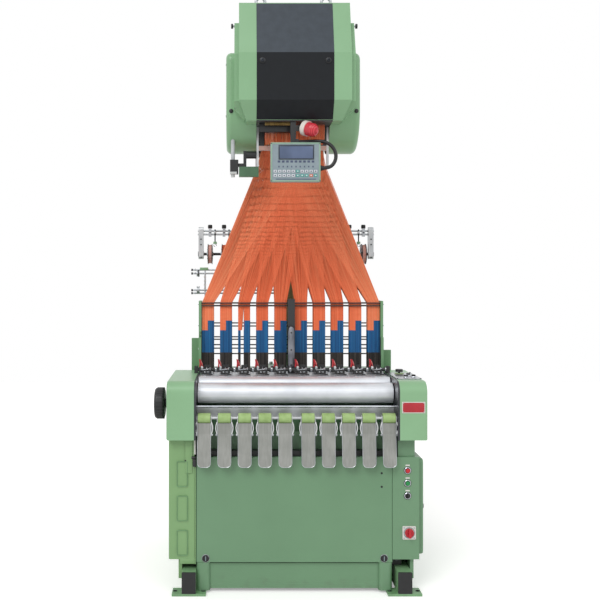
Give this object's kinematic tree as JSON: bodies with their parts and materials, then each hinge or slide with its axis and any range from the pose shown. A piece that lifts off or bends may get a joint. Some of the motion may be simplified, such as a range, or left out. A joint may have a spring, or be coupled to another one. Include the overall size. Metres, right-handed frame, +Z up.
{
  "type": "jacquard needle loom",
  "caption": "Needle loom with tape lanes, chrome take-off rollers, tape chutes, a fan of harness cords and a jacquard head on a rear column.",
  "frame": {"origin": "middle of the machine's outer box, on the floor", "axes": "+X to the right of the operator's side, +Y from the operator's side to the back, +Z up"},
  "size_m": [1.162, 0.94, 2.618],
  "materials": {
    "green_enamel": "satin",
    "dark_steel": "satin",
    "chrome": "polished",
    "zinc_steel": "satin",
    "grey_steel": "satin",
    "spring_steel": "satin",
    "lime_rubber": "matte",
    "cable_rubber": "matte",
    "black_panel": "satin",
    "black_plastic": "satin",
    "red_plastic": "gloss",
    "green_plastic": "gloss",
    "grey_plastic": "satin",
    "pale_plastic": "satin",
    "blue_healds": "satin",
    "orange_cord": "matte"
  },
  "bodies": {
    "root": {"beacon": "red_plastic", "cabinet_side_door": "green_enamel", "control_desk": "zinc_steel", "corner_posts": "green_enamel", "drive_link": "dark_steel", "electrical_cabinet": "green_enamel", "feed_end_plates": "dark_steel", "feed_rods": "zinc_steel", "foot_beams": "green_enamel", "foot_plates": "green_enamel", "front_panel": "green_enamel", "gear_housing_left": "green_enamel", "gear_housing_right": "green_enamel", "guide_arm": "zinc_steel", "guide_bar": "chrome", "harness_bars": "dark_steel", "harness_fan": "orange_cord", "harness_posts": "green_enamel", "head_front_panel": "black_panel", "head_shell": "green_enamel", "head_side_covers": "green_enamel", "healds": "blue_healds", "hook_frame": "dark_steel", "left_gear_case": "green_enamel", "lifting_eyes": "zinc_steel", "machine_core": "green_enamel", "middle_post": "dark_steel", "needle_bar": "dark_steel", "needle_clips": "red_plastic", "operator_terminal": "grey_plastic", "panel_knobs": "black_plastic", "rear_column": "green_enamel", "return_springs": "spring_steel", "right_side_case": "green_enamel", "roller_brackets": "zinc_steel", "side_frames": "green_enamel", "side_plates": "dark_steel", "slot_bar": "dark_steel", "sole_frame": "dark_steel", "switch_plate": "pale_plastic", "tape_chutes": "grey_steel", "terminal_arm": "zinc_steel", "terminal_cable": "cable_rubber", "thread_bars": "zinc_steel", "weaving_heads": "zinc_steel", "weaving_table": "zinc_steel"},
    "handwheel": {"handwheel": "black_plastic"},
    "takeoff_roller": {"takeoff_roller": "chrome"},
    "press_roller": {"press_roller": "chrome"},
    "guide_rollers": {"guide_rollers": "lime_rubber"},
    "feeder_wheels": {"feeder_wheels": "black_plastic"},
    "stop_button": {"stop_button": "red_plastic"},
    "start_button": {"start_button": "green_plastic"},
    "selector_knob": {"selector_knob": "black_plastic"},
    "main_switch": {"main_switch_knob": "red_plastic"},
    "mushroom_button": {"mushroom_button": "black_plastic"},
    "desk_button_1": {"desk_button_1": "black_plastic"},
    "desk_button_2": {"desk_button_2": "black_plastic"},
    "desk_button_3": {"desk_button_3": "black_plastic"}
  },
  "joints": [
    {"name": "handwheel_spin", "type": "hinge", "parent": "root", "child": "handwheel", "pos_m": [-0.551, -0.355, 0.8], "axis": [1, 0, 0], "continuous": true},
    {"name": "takeoff_roller_spin", "type": "hinge", "parent": "root", "child": "takeoff_roller", "pos_m": [0.029, -0.345, 0.842], "axis": [1, 0, 0], "continuous": true},
    {"name": "press_roller_spin", "type": "hinge", "parent": "root", "child": "press_roller", "pos_m": [0.029, -0.27709, 0.875], "axis": [1, 0, 0], "continuous": true},
    {"name": "guide_rollers_spin", "type": "hinge", "parent": "root", "child": "guide_rollers", "pos_m": [0.029, -0.44, 0.748], "axis": [1, 0, 0], "continuous": true},
    {"name": "feeder_wheels_spin", "type": "hinge", "parent": "root", "child": "feeder_wheels", "pos_m": [0.029, 0.405, 1.471], "axis": [1, 0, 0], "continuous": true},
    {"name": "stop_button_press", "type": "slide", "parent": "root", "child": "stop_button", "axis": [0, 1, 0], "range_m": [0, 0.0025], "stiffness_N_per_m": 900},
    {"name": "start_button_press", "type": "slide", "parent": "root", "child": "start_button", "axis": [0, 1, 0], "range_m": [0, 0.0025], "stiffness_N_per_m": 900},
    {"name": "selector_knob_turn", "type": "hinge", "parent": "root", "child": "selector_knob", "pos_m": [0.503, -0.432, 0.41519], "axis": [0, 1, 0], "range_deg": [-45, 45]},
    {"name": "main_switch_turn", "type": "hinge", "parent": "root", "child": "main_switch", "pos_m": [0.5095, -0.432, 0.2578], "axis": [0, 1, 0], "range_deg": [0, 90]},
    {"name": "mushroom_button_press", "type": "slide", "parent": "root", "child": "mushroom_button", "axis": [0, 0, -1], "range_m": [0, 0.004], "stiffness_N_per_m": 900},
    {"name": "desk_button_1_press", "type": "slide", "parent": "root", "child": "desk_button_1", "axis": [0, 0, -1], "range_m": [0, 0.0025], "stiffness_N_per_m": 900},
    {"name": "desk_button_2_press", "type": "slide", "parent": "root", "child": "desk_button_2", "axis": [0, 0, -1], "range_m": [0, 0.0025], "stiffness_N_per_m": 900},
    {"name": "desk_button_3_press", "type": "slide", "parent": "root", "child": "desk_button_3", "axis": [0, 0, -1], "range_m": [0, 0.0025], "stiffness_N_per_m": 900}
  ],
  "couplings": [
    {"joint": "press_roller_spin", "follows": "takeoff_roller_spin", "ratio": -1.4833}
  ]
}
